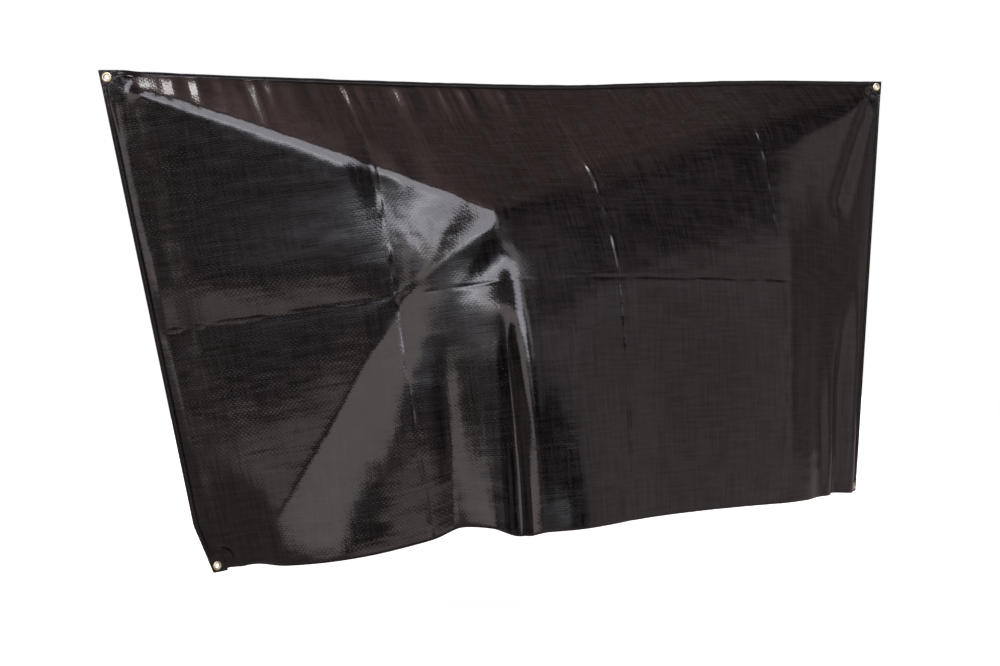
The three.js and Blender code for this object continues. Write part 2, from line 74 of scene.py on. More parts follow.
HALF_LENGTH = COVER_LENGTH / 2
QUARTER = COVER_LENGTH / 4
TOP_NOTCH = CORNER_SIZE - TOP_SEAM_HEIGHT
FOOT_NOTCH = CORNER_SIZE - FOOT_HANG
HALF_CREASE = PANEL_DROP / 2
LOW_LINE = 850.0
FOOT_LINE = PANEL_DROP - FOOT_NOTCH
FAR_CORNER = COVER_LENGTH - CORNER_SIZE
FAR_SEAM = COVER_LENGTH - SIDE_SEAM_WIDTH


def table(columns, *rows):
    """Columns by name, each an array with one value for every row."""
    return dict(zip(columns.split(), np.array(rows, float).T))


SEAM_LINE = table(
    "along rise",
    (0, 20), (330, 11), (680, 4), (1050, 0), (1450, 11), (1700, 18), (2100, 20),
)
ENDS = {
    "left": dict(inwards=1.0, lean=185, kick=22, forward=15, top_turn=26, foot_turn=-12),
    "right": dict(inwards=-1.0, lean=88, kick=2, forward=55, top_turn=10, foot_turn=-24),
}
KICK_LENGTH = 110.0     # of the bend at an end seam's foot
TURN_FADE = 130.0       # a corner's turn fades out this far along the end seam,
FORWARD_FADE = 350.0    # an end seam's pull this far from it,
HOLD_FADE = 45.0        # and a corner's hold on the panels this far from the corner

# %% [markdown]
# ## The sections of both panels
#
# From the top seam the cloth slopes down like a roof as far as a break line, and hangs below it.
# "roof" is the cloth's length from the seam to the break, "edge" how far it stands out there, and
# "half", "low" and "hem" how far it stands out at three heights below. "soft" rounds the break.

# %% Section, hem and fold tables
SECTION_COLUMNS = "along roof edge half low hem soft"
FRONT_SECTIONS = table(
    SECTION_COLUMNS,
    (10, 6, 0, 0, 0, 0, 0),
    (80, 50, 37, 36, 35, 18, 10),
    (200, 110, 82, 90, 95, 116, 18),
    (350, 186, 140, 155, 172, 213, 20),
    (450, 238, 179, 198, 222, 250, 18),
    (525, 274, 206, 231, 264, 288, 14),
    (600, 312, 234, 266, 304, 332, 12),
    (680, 354, 266, 310, 352, 388, 9),
    (730, 384, 288, 335, 382, 420, 6),
    (765, 402, 302, 350, 405, 444, 4),
    (800, 396, 297, 358, 426, 462, 8),
    (880, 368, 275, 357, 432, 482, 22),
    (960, 343, 256, 355, 416, 464, 34),
    (1050, 320, 240, 343, 390, 430, 45),
    (1150, 298, 226, 327, 362, 400, 52),
    (1300, 262, 203, 302, 338, 363, 60),
    (1450, 222, 177, 276, 316, 330, 64),
    (1575, 186, 150, 254, 290, 304, 60),
    (1700, 160, 128, 206, 234, 262, 50),
    (1800, 130, 101, 160, 180, 205, 40),
    (1900, 98, 72, 110, 124, 142, 30),
    (2000, 56, 40, 54, 60, 70, 16),
    (2090, 6, 0, 0, 0, 0, 0),
)
BACK_SECTIONS = table(
    SECTION_COLUMNS,
    (10, 6, 0, 0, 0, 0, 0),
    (80, 40, 28, 34, 40, 48, 6),
    (300, 150, 108, 128, 150, 172, 8),
    (600, 300, 215, 246, 278, 306, 10),
    (840, 418, 300, 338, 384, 430, 8),
    (920, 392, 283, 344, 402, 446, 20),
    (1100, 332, 241, 320, 360, 394, 40),
    (1400, 236, 173, 262, 298, 320, 50),
    (1700, 150, 112, 192, 216, 238, 40),
    (1950, 62, 45, 80, 94, 108, 20),
    (2090, 6, 0, 0, 0, 0, 0),
)
FRONT_HEM = table(
    "along lift",
    (36, 0), (58, -6), (90, -6), (250, -8), (400, -3), (520, 10), (605, 31), (665, 24), (735, -4),
    (800, 5), (1050, 5), (1700, 0), (1900, 3), (2064, 0),
)
BACK_HEM = table("along lift", (36, 0), (640, 14), (780, -4), (1100, 6), (2064, 0))

# A fold: where it starts and ends on the cloth, the width of each flank, how far it stands out,
# and over what length it grows from its start.
FOLD_COLUMNS = "along0 down0 along1 down1 flank out grow"
FRONT_FOLDS = table(
    FOLD_COLUMNS,
    (768, 440, 785, 800, 16, 4, 150),
    (749, 590, 728, PANEL_DROP, 21, -15, 150),
    (600, 640, 578, PANEL_DROP, 26, -5.5, 140),
    (2000, 420, 1990, PANEL_DROP, 40, 10, 300),
    (1915, 520, 1902, PANEL_DROP, 36, -10, 300),
    (1835, 640, 1832, PANEL_DROP, 36, 7, 300),
    (2050, 30, 1890, 330, 34, -9, 60),
)
BACK_FOLDS = table(
    FOLD_COLUMNS,
    (845, 440, 880, PANEL_DROP, 30, 10, 60),
    (800, 620, 780, PANEL_DROP, 34, -16, 160),
    (1480, 560, 1500, PANEL_DROP, 60, -9, 200),
)
print("sections:", len(FRONT_SECTIONS["along"]), "front,", len(BACK_SECTIONS["along"]), "back")

# %% [markdown]
# ## From tables to a hanging sheet
#
# The functions below work like those behind the solids. Only the corners' hold ends sooner here,
# and steep threads give up less of their length, so that thin cloth does not crumple. A smooth
# curve through the rows of a table gives a section at any place along the cloth, and a section
# gives how far the cloth stands out at any place down it.

# %% Smooth curves and section functions
def ease(t):
    t = np.clip(t, 0.0, 1.0)
    return t * t * (3 - 2 * t)


def hump(distance, width):
    """1 in the middle, fading to 0 on both sides."""
    return np.exp(-((distance / width) ** 2))


def curve_through(xs, ys, x):
    """A smooth curve through the points, which never swings past them."""
    xs, ys, x = (np.asarray(values, float) for values in (xs, ys, x))
    steps = np.diff(ys) / np.diff(xs)
    slopes = np.empty_like(ys)
    slopes[0], slopes[-1] = steps[0], steps[-1]
    before, after = steps[:-1], steps[1:]
    turning = before * after <= 0
    total = np.where(turning, 1.0, before + after)
    slopes[1:-1] = np.where(turning, 0.0, 2 * before * after / total)
    inside = np.clip(x, xs[0], xs[-1])
    k = np.clip(np.searchsorted(xs, inside) - 1, 0, len(xs) - 2)
    width = xs[k + 1] - xs[k]
    t = (inside - xs[k]) / width
    return (
        ys[k] * (2 * t**3 - 3 * t**2 + 1)
        + ys[k + 1] * (3 * t**2 - 2 * t**3)
        + width * (slopes[k] * (t**3 - 2 * t**2 + t) + slopes[k + 1] * (t**3 - t**2))
    )


def read_table(rows, column, along):
    return curve_through(rows["along"], rows[column], along)


def seam_rise(along):
    return read_table(SEAM_LINE, "rise", along)


def end_seam_point(side, inset, down):
    """A point of an end seam: inset from the outer edge, and down from the top stitching."""
    end = ENDS[side]
    inwards = end["inwards"]
    inset, down = np.broadcast_arrays(inset, down)
    slide = down / PANEL_DROP
    kick = end["kick"] * np.maximum(0.0, (down - PANEL_DROP + KICK_LENGTH) / KICK_LENGTH)
    fall = slide * math.sqrt(PANEL_DROP**2 - end["lean"] ** 2 - end["forward"] ** 2)
    from_top = 1 - ease((down - TOP_NOTCH) / TURN_FADE)
    from_foot = 1 - ease((PANEL_DROP - FOOT_NOTCH - down) / TURN_FADE)
    turn = np.radians(end["top_turn"] * from_top + end["foot_turn"] * from_foot)
    x = -inwards * (HALF_LENGTH - end["lean"] * slide - kick) + inwards * np.cos(turn) * inset
    y = -end["forward"] * slide - inwards * np.sin(turn) * inset
    z = seam_rise(0 if side == "left" else COVER_LENGTH) - fall
    return np.stack([x, y, z], axis=-1)


BREAK_SHARES = np.linspace(-1, 1, 13)   # where a section is read to round its break


def section_reach(sections, along, down):
    """How far one section stands out, at one place along and many places down."""
    at = {name: float(read_table(sections, name, along)) for name in sections}
    stops = [at["roof"], HALF_CREASE, LOW_LINE, PANEL_DROP]
    reaches = [at["edge"], at["half"], at["low"], at["hem"]]
    soft = np.minimum(at["soft"], down)
    total = np.zeros_like(down)
    for share in BREAK_SHARES:
        place = down + share * soft
        below = curve_through(stops, reaches, place)
        total += np.where(place < at["roof"], at["edge"] * place / at["roof"], below)
    return total / len(BREAK_SHARES)


def line_coordinates(along, down, line):
    """Distance run along a row's line on the cloth, distance across it, and the line's length."""
    from_along, from_down = along - line["along0"], down - line["down0"]
    over, fall = line["along1"] - line["along0"], line["down1"] - line["down0"]
    length = math.hypot(over, fall)
    run = (from_along * over + from_down * fall) / length
    across = (from_along * fall - from_down * over) / length
    return run, across, length


def rows_of(rows):
    """The rows of a table, each as a dictionary."""
    return [dict(zip(rows, map(float, values))) for values in zip(*rows.values())]


def fold_reach(folds, along, down):
    total = np.zeros(along.shape)
    for fold in rows_of(folds):
        run, across, length = line_coordinates(along, down, fold)
        grown = ease(run / fold["grow"]) * ease((length + fold["grow"] - run) / fold["grow"])
        total += fold["out"] * grown * hump(across, fold["flank"])
    return total


def distance_from_end(along):
    return np.minimum(along, COVER_LENGTH - along)


def on_side(side, along):
    return (along < HALF_LENGTH) == (side == "left")


def corner_hold(along, down):
    """1 on the stiff corner squares, fading to 0 over a few fingers' breadth."""
    beside = np.maximum(0, distance_from_end(along) - CORNER_SIZE)
    under = np.maximum(0, np.minimum(down - TOP_NOTCH, FOOT_LINE - down))
    return 1 - ease(np.hypot(beside, under) / HOLD_FADE)


def middle_depth(along, down):
    """Where the middle layer of the bag lies: the end seams and turned corners pull it forwards."""
    along, down = np.broadcast_arrays(along, down)
    from_end = distance_from_end(along)
    fade = 1 - ease((from_end - SIDE_SEAM_WIDTH) / FORWARD_FADE)
    depth = np.zeros(along.shape)
    for side, end in ENDS.items():
        seam = end_seam_point(side, 0, down)[..., 1] * fade
        turn = np.where(down < HALF_CREASE, end["top_turn"], end["foot_turn"])
        slant = -end["inwards"] * np.sin(np.radians(turn)) * np.minimum(from_end, CORNER_SIZE)
        here = seam + slant * corner_hold(along, down)
        depth = np.where(on_side(side, along), here, depth)
    return depth


tip = section_reach(FRONT_SECTIONS, 765.0, np.array([402.0]))
print("reach of the handlebar point:", round(float(tip[0])), "mm")

# %% [markdown]
# ## Pulling the cloth back to its own lengths
#
# Tarpaulin hardly stretches. Once every point knows how far it stands out, each thread of the grid
# and each diagonal is brought back to its cut length by sliding its two ends along and down.
# Threads that share no point are moved together, so the work is a handful of array sums. It starts
# on a coarse grid, and each finer grid begins from the one before.

# %% Settle a grid of cloth
THREAD, BIAS = 1.0, 0.4     # the stiffness of the threads, and of the diagonals between them
LEAST_SQUARE = 0.2          # of a steep thread's squared length, the least that is seen in front
FIRST_SQUARE = 0.09         # and the least in the first guess


def divide(end, *starts):
    """Places in even steps up to the end. A start is a place and the step that follows it."""
    places = [float(starts[0][0])]
    stops = [place for place, _ in starts[1:]] + [end]
    for (start, step), stop in zip(starts, stops):
        count = max(1, round((stop - start) / step))
        places += [start + (stop - start) * n / count for n in range(1, count + 1)]
    return np.array(places)


def thread_groups(count_along, count_down):
    """Pairs of grid slices whose threads share no point, with their stiffness."""
    groups = []
    for shift, stiffness in (((1, 0), THREAD), ((0, 1), THREAD), ((1, 1), BIAS), ((1, -1), BIAS)):
        for parity in (0, 1):
            i, j = np.meshgrid(np.arange(count_along), np.arange(count_down), indexing="ij")
            lane = j if shift[0] == 0 else i
            far_i, far_j = i + shift[0], j + shift[1]
            fits = (far_i < count_along) & (far_j < count_down) & (far_j >= 0)
            chosen = fits & (lane % 2 == parity)
            groups.append(((i[chosen], j[chosen]), (far_i[chosen], far_j[chosen]), stiffness))
    return groups


def settle(points, held, along, down, rounds):
    """Slides the free points in x and z until the threads have their cut lengths."""
    groups = []
    for a, b, stiffness in thread_groups(*along.shape):
        cut = np.hypot(along[a] - along[b], down[a] - down[b])
        depth = points[b][:, 1] - points[a][:, 1]
        wanted = np.sqrt(np.maximum(LEAST_SQUARE * cut**2, cut**2 - depth**2))
        free_a, free_b = ~held[a], ~held[b]
        share = np.where(free_a & free_b, 0.5, 1.0) * stiffness
        groups.append((a, b, wanted, share * free_a, share * free_b))
    flat = points[..., [0, 2]]
    for _ in range(rounds):
        for a, b, wanted, pull_a, pull_b in groups:
            apart = flat[b] - flat[a]
            now = np.maximum(np.hypot(apart[:, 0], apart[:, 1]), 1e-6)
            pull = apart * ((now - wanted) / now)[:, None]
            flat[a] += pull * pull_a[:, None]
            flat[b] -= pull * pull_b[:, None]
    points[..., 0], points[..., 2] = flat[..., 0], flat[..., 1]
    return points


def resample(values, old_along, old_down, new_along, new_down):
    """A grid of values read at the places of another grid."""
    finer = np.stack([np.interp(new_along, old_along, line) for line in values.T], axis=1)
    return np.stack([np.interp(new_down, old_down, line) for line in finer])


FOLD_FADE_ALONG, FOLD_FADE_DOWN = 60.0, 30.0    # a fold flattens this close to a weld


def hang_panel(sections, hem, folds, columns, rows, facing, start, rounds):
    """The points of a panel, in millimetres, on the grid of the given columns and rows."""
    along, nominal = np.meshgrid(columns, rows, indexing="ij")
    lift = read_table(hem, "lift", along)
    down = nominal - lift * ease((nominal - LOW_LINE) / (PANEL_DROP - LOW_LINE))
    from_end = distance_from_end(along)
    reach = np.stack([section_reach(sections, a, rows) for a in columns])
    clear = ease((from_end - SIDE_SEAM_WIDTH) / FOLD_FADE_ALONG) * ease(nominal / FOLD_FADE_DOWN)
    reach = reach + fold_reach(folds, along, nominal) * clear
    loose = 1 - corner_hold(along, nominal)
    y = middle_depth(along, nominal) + facing * (LAYER_OFFSET + reach * loose)
    in_corner = from_end <= CORNER_SIZE + TOUCH
    in_corner &= (nominal <= TOP_NOTCH + TOUCH) | (nominal >= FOOT_LINE - TOUCH)
    welded = (from_end <= SIDE_SEAM_WIDTH + TOUCH) | in_corner
    points = np.zeros((*y.shape, 3))
    points[..., 1] = y
    if start is None:
        left, right = (end_seam_point(side, SIDE_SEAM_WIDTH, nominal)[..., 0] for side in ENDS)
        share = (along - SIDE_SEAM_WIDTH) / (FAR_SEAM - SIDE_SEAM_WIDTH)
        step = np.diff(down, axis=1)
        square = np.maximum(FIRST_SQUARE * step**2, step**2 - np.diff(y, axis=1) ** 2)
        fall = np.zeros_like(down)
        fall[:, 1:] = np.cumsum(np.sqrt(square), axis=1)
        points[..., 0] = left + (right - left) * share
        points[..., 2] = seam_rise(along) - fall
    else:
        old_columns, old_rows, old_points = start
        for axis in (0, 2):
            old = old_points[..., axis]
            points[..., axis] = resample(old, old_columns, old_rows, columns, rows)
    top = nominal == 0
    points[..., 0] = np.where(top, along - HALF_LENGTH, points[..., 0])
    points[..., 2] = np.where(top, seam_rise(along) + TUCK, points[..., 2])
    for side in ENDS:
        here = welded & on_side(side, along)
        seam = end_seam_point(side, from_end - TUCK, nominal)
        seam[..., 1] += facing * LAYER_OFFSET
        points = np.where(here[..., None], seam, points)
    return settle(points, welded | top, along, down, rounds)


STRIP = 12.0            # half the width of the finely divided strip on a packing crease
COARSE_COLUMNS = divide(FAR_SEAM, (SIDE_SEAM_WIDTH, 26), (CORNER_SIZE, 47), (FAR_CORNER, 26))
COARSE_ROWS = divide(
    PANEL_DROP, (0, 25), (TOP_NOTCH, 45), (422, 43), (HALF_CREASE, 52), (FOOT_LINE, 31),
)
MIDDLE_COLUMNS = divide(FAR_SEAM, (SIDE_SEAM_WIDTH, 13), (CORNER_SIZE, 18), (FAR_CORNER, 13))
MIDDLE_ROWS = divide(PANEL_DROP, (0, 12.5), (TOP_NOTCH, 18), (FOOT_LINE, 15.5))
FINE_COLUMNS = divide(
    FAR_SEAM, (SIDE_SEAM_WIDTH, 6.5), (CORNER_SIZE, 8.6),
    (QUARTER - STRIP, 3), (QUARTER + STRIP, 8.6), (690, 5.5), (830, 8.6),
    (2 * QUARTER - STRIP, 3), (2 * QUARTER + STRIP, 9),
    (3 * QUARTER - STRIP, 3), (3 * QUARTER + STRIP, 9), (FAR_CORNER, 6.5),
)
FINE_ROWS = divide(
    PANEL_DROP, (0, 4), (TOP_NOTCH, 5), (80, 6.5),
    (HALF_CREASE - STRIP, 3), (HALF_CREASE + STRIP, 8), (FOOT_LINE, 6),
)


def hang_finely(sections, hem, folds, facing, grids):
    """The last grid's cloth measures and points. A grid is its columns, rows and rounds."""
    start = None
    for columns, rows, rounds in grids:
        points = hang_panel(sections, hem, folds, columns, rows, facing, start, rounds)
        start = (columns, rows, points)
    return (*np.meshgrid(columns, rows, indexing="ij"), points)


front_along, front_down, front_points = hang_finely(
    FRONT_SECTIONS, FRONT_HEM, FRONT_FOLDS, -1, [
        (COARSE_COLUMNS, COARSE_ROWS, 1200), (MIDDLE_COLUMNS, MIDDLE_ROWS, 400),
        (FINE_COLUMNS, FINE_ROWS, 120),
    ],
)
print("front panel grid:", front_points.shape[0], "by", front_points.shape[1])
back_along, back_down, back_points = hang_finely(
    BACK_SECTIONS, BACK_HEM, BACK_FOLDS, 1,
    [(COARSE_COLUMNS, COARSE_ROWS, 1200), (MIDDLE_COLUMNS, MIDDLE_ROWS, 300)],
)
print("back panel grid:", back_points.shape[0], "by", back_points.shape[1])

# %% [markdown]
# ## Creases, dents and puckers
#
# A solid carries the large folds. What makes this cloth look like tarpaulin is smaller: the lines
# it was folded on in its packet, short dents, and the pucker where the top weld draws it in.
# Each kind is a few rows of a table, and gives a height above the sheet in
# millimetres. Seeded noise keeps any of them from being even.

# %% Noise on a lattice
def lattice_noise(seed, along, down, size_along, size_down):
    """Smooth seeded noise from -1 to 1, with grains of the given size in millimetres."""
    u, v = along / size_along + 3, down / size_down + 3
    i, j = np.floor(u).astype(int), np.floor(v).astype(int)
    lattice = np.random.default_rng(seed).uniform(-1, 1, (int(i.max()) + 3, int(j.max()) + 3))
    s, t = u - i, v - j
    s, t = s**3 * (s * (6 * s - 15) + 10), t**3 * (t * (6 * t - 15) + 10)
    near = lattice[i, j] * (1 - t) + lattice[i, j + 1] * t
    far = lattice[i + 1, j] * (1 - t) + lattice[i + 1, j + 1] * t
    return near * (1 - s) + far * s


def noise_along(seed, along, size):
    """The same noise along the cloth only."""
    return lattice_noise(seed, along, np.zeros_like(along), size, 1.0)


# %% Packing creases
# A crease has a slope on each side, which reaches so far, and a narrow ridge on the line.
CREASE_COLUMNS = "along0 down0 along1 down1 left right reach ridge narrow"
CREASES = table(
    CREASE_COLUMNS,
    (525, 20, 525, 220, 0.02, -0.02, 50, -0.3, 3.4),
    (60, 62, 690, 360, 0.00, -0.13, 130, 0.0, 6),
    (525, 275, 525, 551, -0.05, -0.11, 80, 2.6, 4.2),
    (525, 551, 525, 1102, -0.03, -0.04, 60, -1.0, 3.4),
    (1050, 20, 1050, 240, 0.02, -0.02, 50, 0.4, 3.6),
    (1050, 260, 1050, 700, 0.04, -0.03, 50, 2.2, 3.6),
    (1050, 700, 1050, 1102, 0.03, -0.04, 50, 1.8, 3.4),
    (1575, 20, 1575, 150, 0.02, -0.02, 50, 0.5, 3.6),
    (1575, 190, 1575, 470, 0.03, -0.03, 50, 2.1, 3.4),
    (1575, 480, 1575, 1102, 0.03, -0.03, 50, 1.2, 3.4),
    (20, 551, 450, 551, 0.00, -0.11, 125, 1.0, 3.4),
    (20, 551, 450, 551, -0.05, 0.00, 330, 0.0, 8),
    (550, 551, 1000, 551, 0.00, 0.02, 50, -1.2, 3.4),
    (1000, 551, 1560, 551, -0.04, 0.04, 50, -1.3, 3.4),
    (1560, 551, 2060, 551, -0.03, 0.04, 50, -1.0, 3.4),
    (755, 430, 535, 545, 0.09, 0.05, 110, 0.8, 6),
    (765, 430, 665, 540, 0.02, 0.07, 60, 0.3, 6),
    (535, 570, 250, 920, -0.09, -0.17, 170, 0.0, 8),
)
STRAY, STRAY_LENGTH = 1.5, 45.0     # how far a crease strays from its line, and how often
UNEVEN_LENGTH = 26.0                # how often its ridge grows and fades
RIDGE_END = 15.0                    # how far its ridge runs past its ends


def crease_relief(creases, along, down):
    """A shallow slope on each side of the line, and a narrow uneven ridge on it."""
    total = np.zeros(along.shape)
    for number, row in enumerate(rows_of(creases)):
        run, across, length = line_coordinates(along, down, row)
        place = np.clip(run, 0, length)
        across = across + STRAY * noise_along(100 + number, place, STRAY_LENGTH)
        beyond = np.maximum(0, np.maximum(-run, run - length))
        side = np.where(across < 0, row["left"], row["right"])
        tent = -side * np.abs(across) * hump(across, row["reach"]) * hump(beyond, row["reach"])
        uneven = 0.55 + 0.75 * noise_along(200 + number, place, UNEVEN_LENGTH)
        ridge = row["ridge"] * uneven * hump(across, row["narrow"])
        total += tent + ridge * hump(beyond, RIDGE_END)
    return total


# %% Dents, leaning areas, puckers and wrinkles
DENTS = table(
    "along0 down0 along1 down1 flank out",
    (548, 420, 556, 462, 5, -0.9),
    (572, 400, 580, 438, 5, -0.8),
    (590, 425, 600, 470, 6, -1.0),
    (612, 398, 618, 430, 5, -0.8),
    (634, 420, 641, 452, 5, -0.9),
    (655, 402, 660, 432, 4, -0.7),
    (560, 350, 566, 385, 5, 0.7),
    (540, 470, 552, 515, 6, -0.8),
    (575, 480, 590, 510, 5, -0.7),
    (230, 110, 300, 150, 8, 0.7),
    (320, 160, 380, 190, 8, 0.6),
)
LEANS = table(
    "along down wide high lean_along lean_down",
    (35, 350, 45, 420, -150, 0),
    (200, 1000, 130, 150, 0, -40),
    (600, 395, 80, 150, 80, 150),
    (550, 300, 42, 60, 170, 0),
    (735, 480, 70, 90, -120, -280),
    (712, 615, 55, 60, 60, -110),
    (790, 850, 70, 260, 0, -80),
    (430, 830, 105, 230, 140, 0),
    (340, 1000, 90, 130, 110, 0),
)


def dent_relief(dents, along, down):
    """Soft ridges and dents, each on a line, that taper at both ends."""
    total = np.zeros(along.shape)
    for row in rows_of(dents):
        run, across, length = line_coordinates(along, down, row)
        taper = ease(run / length * 3 + 0.5) * ease((1 - run / length) * 3 + 0.5)
        total += row["out"] * taper * hump(across, row["flank"])
    return total


def lean_relief(leans, along, down):
    """Areas that lean a little, in millimetres per metre along and down the cloth."""
    total = np.zeros(along.shape)
    for row in rows_of(leans):
        from_along, from_down = along - row["along"], down - row["down"]
        weight = hump(from_along, row["wide"]) * hump(from_down, row["high"])
        lean = row["lean_along"] * from_along + row["lean_down"] * from_down
        total += weight * lean * MM
    return total


PUCKER_REACH, PUCKER_SLOPE, PUCKER_FADE = 23.0, 0.42, 50.0


def pucker_relief(along, down):
    """The weld draws the cloth in: it leaves the top seam nearly level, then breaks downwards."""
    reach = PUCKER_REACH + 9 * noise_along(31, along, 42) + 5 * noise_along(32, along, 19)
    to_right = 0.25 + 0.75 * (1 - ease((along - 900) / 300))
    slope = PUCKER_SLOPE * ease((along - 45) / 60) * to_right
    uneven = 0.9 * noise_along(33, along, 55) + 0.6 * noise_along(34, along, 18)
    slope = slope * np.maximum(0.6 + uneven, 0)
    shoulder = slope * reach * (1 - np.exp(-down / np.maximum(reach, 4)))
    return shoulder * np.exp(-down / PUCKER_FADE)


def wrinkle_relief(along, down):
    """Slight waves everywhere, and small crumples in four places."""
    by_ridge = hump(down - 0.54 * along - 15, 45) * ease((along - 60) / 80)
    by_ridge = by_ridge * (1 - ease((along - 560) / 120))
    by_crease = hump(along - 2 * QUARTER, 40) * ease((down - 780) / 120)
    low_middle = hump(along - 890, 90) * ease((down - 800) / 150)
    corner = hump(along - 85, 35) * hump(down - 45, 40)
    total = np.zeros(along.shape)
    for where, height, seed, size_along, size_down in (
        (1.0, 0.35, 11, 70, 28), (1.0, 0.14, 12, 30, 14), (by_ridge, 0.38, 13, 13, 26),
        (by_crease, 0.35, 14, 17, 15), (low_middle, 0.25, 15, 24, 15), (corner, 1.2, 16, 16, 19),
    ):
        total += where * height * lattice_noise(seed, along, down, size_along, size_down)
    return total


def raise_relief(points, relief, facing):
    """Moves every point along the sheet's normal by its relief."""
    normal = np.cross(np.gradient(points, axis=0), np.gradient(points, axis=1))
    normal /= np.maximum(np.linalg.norm(normal, axis=-1, keepdims=True), 1e-9)
    normal = np.where(normal[..., 1:2] * facing < 0, -normal, normal)
    return points + normal * relief[..., None]


RELIEF_FADE_ALONG, RELIEF_FADE_DOWN = 25.0, 5.0


def free_share(along, down):
    """0 on the welds and the corner squares, 1 a little way from them."""
    from_end = distance_from_end(along)
    clear = ease((from_end - SIDE_SEAM_WIDTH) / RELIEF_FADE_ALONG) * ease(down / RELIEF_FADE_DOWN)
    return clear * (1 - corner_hold(along, down))


relief = crease_relief(CREASES, front_along, front_down)
relief += dent_relief(DENTS, front_along, front_down)
relief += lean_relief(LEANS, front_along, front_down) + pucker_relief(front_along, front_down)
relief += wrinkle_relief(front_along, front_down)
front_points = raise_relief(front_points, relief * free_share(front_along, front_down), -1)
print("relief on the front:", relief.min().round(1), "to", relief.max().round(1), "mm")

BACK_CREASES = table(
    CREASE_COLUMNS,
    (525, 20, 525, 1102, 0.04, 0.03, 60, 0.8, 9),
    (1050, 20, 1050, 1102, -0.03, -0.04, 60, 0.8, 9),
    (1575, 20, 1575, 1102, 0.03, 0.03, 60, 0.8, 9),
    (20, 551, 2080, 551, -0.04, -0.04, 70, 0.6, 9),
)
relief = crease_relief(BACK_CREASES, back_along, back_down) + pucker_relief(back_along, back_down)
relief += 0.9 * lattice_noise(41, back_along, back_down, 110, 70)
relief += 0.3 * lattice_noise(42, back_along, back_down, 45, 30)
back_points = raise_relief(back_points, relief * free_share(back_along, back_down), 1)

# %% [markdown]
# ## From a grid of points to a sheet
#
# bmesh makes a flat grid, and each of its points is then moved to its place on the hanging cloth.
# The cloth's own two measures are kept as a UV map in metres, so that a weave drawn on it follows
# the cloth and not the room. A Solidify modifier gives the sheet its thickness.

# %% Turn a grid into a mesh with cloth coordinates
def add_object(name, shape, material, slot):
    """Turns a bmesh into an object. A slot makes it a piece of the cover."""
    mesh_data = bpy.data.meshes.new(name)
    shape.to_mesh(mesh_data)
    shape.free()
    made = bpy.data.objects.new(name, mesh_data)
    bpy.context.scene.collection.objects.link(made)
    mesh_data.materials.append(material)
    for face in mesh_data.polygons:
        face.use_smooth = True
    if slot:
        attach(made, "root")
    return made


def thicken(piece, thickness):
    """Gives a piece a thickness in millimetres, half of it to each side."""
    solid = piece.modifiers.new("thickness", "SOLIDIFY")
    solid.thickness = thickness * MM
    solid.offset = 0.0


def grid_mesh(points, along, down):
    """A bmesh grid on the given points, with the cloth's measures as its UV map, in metres."""
    count_along, count_down = along.shape
    cloth = bmesh.new()
    uv_layer = cloth.loops.layers.uv.new("cloth")
    bmesh.ops.create_grid(cloth, x_segments=count_along - 1, y_segments=count_down - 1, size=1.0)
    cells = {}
    for vert in cloth.verts:
        i = round((vert.co.x + 1) / 2 * (count_along - 1))
        j = round((vert.co.y + 1) / 2 * (count_down - 1))
        cells[vert] = (i, j)
        vert.co = Vector(points[i, j]) * MM
    for face in cloth.faces:
        for loop in face.loops:
            i, j = cells[loop.vert]
            loop[uv_layer].uv = (along[i, j] * MM, -down[i, j] * MM)
    return cloth


SHEET_THICKNESS = 0.6       # the real film has about 0.2
COVERED_IN, COVERED_TOP, COVERED_FOOT = 29.0, 20.0, 24.0


def under_corner(along, down):
    """True where a corner square covers the panel, apart from the edge that is welded under it."""
    at_height = down < COVERED_TOP or down > PANEL_DROP - COVERED_FOOT
    return distance_from_end(along) < COVERED_IN and at_height


def sheet_object(name, points, along, down, facing):
    """A thin sheet whose outer face looks to the front (facing -1) or the back (facing 1)."""
    cloth = grid_mesh(points, along, down)
    uv_layer = cloth.loops.layers.uv["cloth"]
    covered = []
    for face in cloth.faces:
        middle = sum((loop[uv_layer].uv for loop in face.loops), Vector((0, 0))) / len(face.loops)
        if under_corner(middle.x / MM, -middle.y / MM):
            covered.append(face)
    bmesh.ops.delete(cloth, geom=covered, context="FACES")
    cloth.normal_update()
    towards = sum(face.normal.y * face.calc_area() for face in cloth.faces)
    if towards * facing < 0:
        bmesh.ops.reverse_faces(cloth, faces=cloth.faces[:])
    made = add_object(name, cloth, tarpaulin, "tarpaulin")
    thicken(made, SHEET_THICKNESS)
    return made


# %% [markdown]
# ## Laminated woven polyethylene
#
# Tarpaulin is woven from flat polyethylene tapes and coated with black film on both faces. The film
# is glossy, so the eye sees almost no colour of its own, only reflections: about 4 per cent of what
# stands in front of it. Each tape lies at its own slight tilt, so the edge of a reflection is
# ragged along the tapes, and the crossings give the faint check of the weave. The film's black is
# a little uneven along the tapes too. In a colour Mix node, sockets 6 and 7 are its two colours.

# %% Colours and nodes
def srgb(code):
    """The linear colour of an sRGB hex value."""
    channels = [int(code[k:k + 2], 16) / 255 for k in (1, 3, 5)]
    linear = [c / 12.92 if c <= 0.04045 else ((c + 0.055) / 1.055) ** 2.4 for c in channels]
    return (*linear, 1.0)


def helpers(tree):
    """For one tree: node() adds a node, and calc() a Math node, for sums."""
    def node(kind, inputs=None, **settings):
        """Settings are the node's properties, and inputs its sockets' values or links."""
        made = tree.nodes.new("ShaderNode" + kind)
        for name, value in settings.items():
            setattr(made, name, value)
        for socket, value in (inputs or {}).items():
            if isinstance(value, bpy.types.NodeSocket):
                tree.links.new(value, made.inputs[socket])
            else:
                made.inputs[socket].default_value = value
        return made

    def calc(operation, *values):
        return node("Math", dict(enumerate(values)), operation=operation).outputs[0]

    tree.nodes.clear()
    return node, calc


def new_material(name):
    material = bpy.data.materials.new(name)
    material.use_nodes = True
    return (material, *helpers(material.node_tree))


